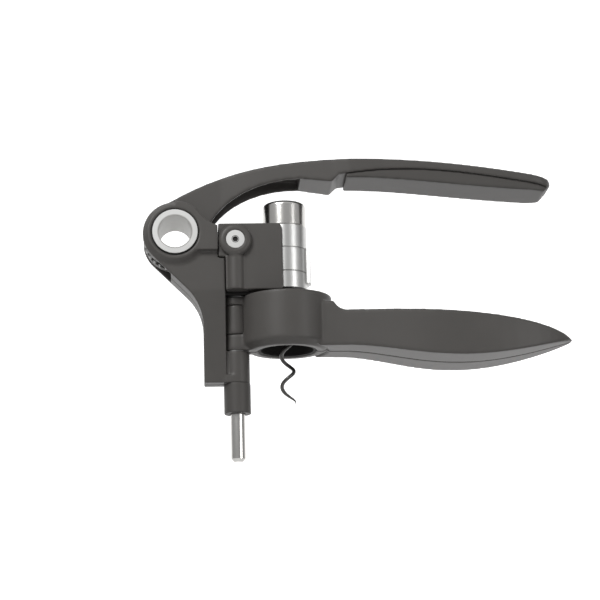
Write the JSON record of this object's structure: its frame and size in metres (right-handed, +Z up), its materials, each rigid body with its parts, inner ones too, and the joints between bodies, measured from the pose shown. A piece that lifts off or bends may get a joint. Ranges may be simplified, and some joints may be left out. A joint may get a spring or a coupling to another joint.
{
  "type": "lever corkscrew",
  "caption": "Hand-held lever corkscrew: hinged lever with rack drive, worm under a metal head on a guide rod, and a neck collar split into hinged handles.",
  "frame": {"origin": "on the worm's axis, at the face of the worm nut where the bottle's lip seats", "axes": "+X from the lever pivot towards the handle tips, -Y the front, +Z up along the worm, out of the bottle"},
  "size_m": [0.234, 0.0494, 0.1648],
  "materials": {
    "dark_shell": "satin moulded plastic, dark warm grey",
    "dark_cover": "satin moulded plastic",
    "black_trim": "black moulded plastic",
    "soft_liner": "soft matt liner",
    "bright_tube": "polished",
    "bright_steel": "polished steel",
    "satin_steel": "turned, satin",
    "plain_steel": "plain machined",
    "bearing_bronze": "sintered bearing metal",
    "worm_coating": "black non-stick coating on steel wire"
  },
  "bodies": {
    "frame": {"frame_front": "dark_shell", "frame_rear": "dark_shell", "pivot_tube": "bright_tube", "pivot_seal_front": "black_trim", "pivot_seal_rear": "black_trim", "hinge_plate": "black_trim", "worm_nut": "black_trim", "rod_bushes": "bearing_bronze", "knuckle_washers": "plain_steel", "foot_sleeve": "black_trim", "frame_screws": "plain_steel"},
    "lever": {"lever_arm": "dark_shell", "grip_cover": "dark_cover", "lever_gear": "plain_steel", "grip_screws": "plain_steel"},
    "carriage": {"carriage_front": "dark_shell", "carriage_rear": "dark_shell", "guide_rod": "bright_steel", "rack_bar": "plain_steel", "rack_pin": "plain_steel", "clamp_bolt": "bright_steel", "clamp_nut": "bright_steel", "head_base": "satin_steel", "head_ring_lower": "satin_steel", "head_ring_upper": "satin_steel", "head_cap": "bright_steel", "head_clamp": "satin_steel", "worm_bushes": "bearing_bronze", "carriage_screws": "plain_steel"},
    "worm": {"worm": "worm_coating"},
    "jaw_front": {"jaw_front": "dark_shell", "jaw_front_cover": "dark_cover", "jaw_front_liner": "soft_liner"},
    "jaw_rear": {"jaw_rear": "dark_shell", "jaw_rear_cover": "dark_cover", "jaw_rear_liner": "soft_liner"}
  },
  "joints": [
    {"name": "lever_swing", "type": "hinge", "parent": "frame", "child": "lever", "pos_m": [-0.06, 0, 0.043], "axis": [0, -1, 0], "range_deg": [0, 175]},
    {"name": "carriage_slide", "type": "slide", "parent": "frame", "child": "carriage", "axis": [0, 0, 1], "range_m": [0, 0.0504]},
    {"name": "worm_spin", "type": "hinge", "parent": "carriage", "child": "worm", "pos_m": [0, 0, 0], "axis": [0, 0, 1], "range_deg": [0, 1074]},
    {"name": "jaw_front_hinge", "type": "hinge", "parent": "frame", "child": "jaw_front", "pos_m": [-0.0275, 0, 0], "axis": [0, 0, -1], "range_deg": [0, 25]},
    {"name": "jaw_rear_hinge", "type": "hinge", "parent": "frame", "child": "jaw_rear", "pos_m": [-0.0275, 0, 0], "axis": [0, 0, 1], "range_deg": [0, 25]}
  ],
  "couplings": [
    {"joint": "carriage_slide", "follows": "lever_swing", "m_per_rad": 0.0165},
    {"joint": "worm_spin", "follows": "lever_swing", "ratio": 6.1345}
  ]
}
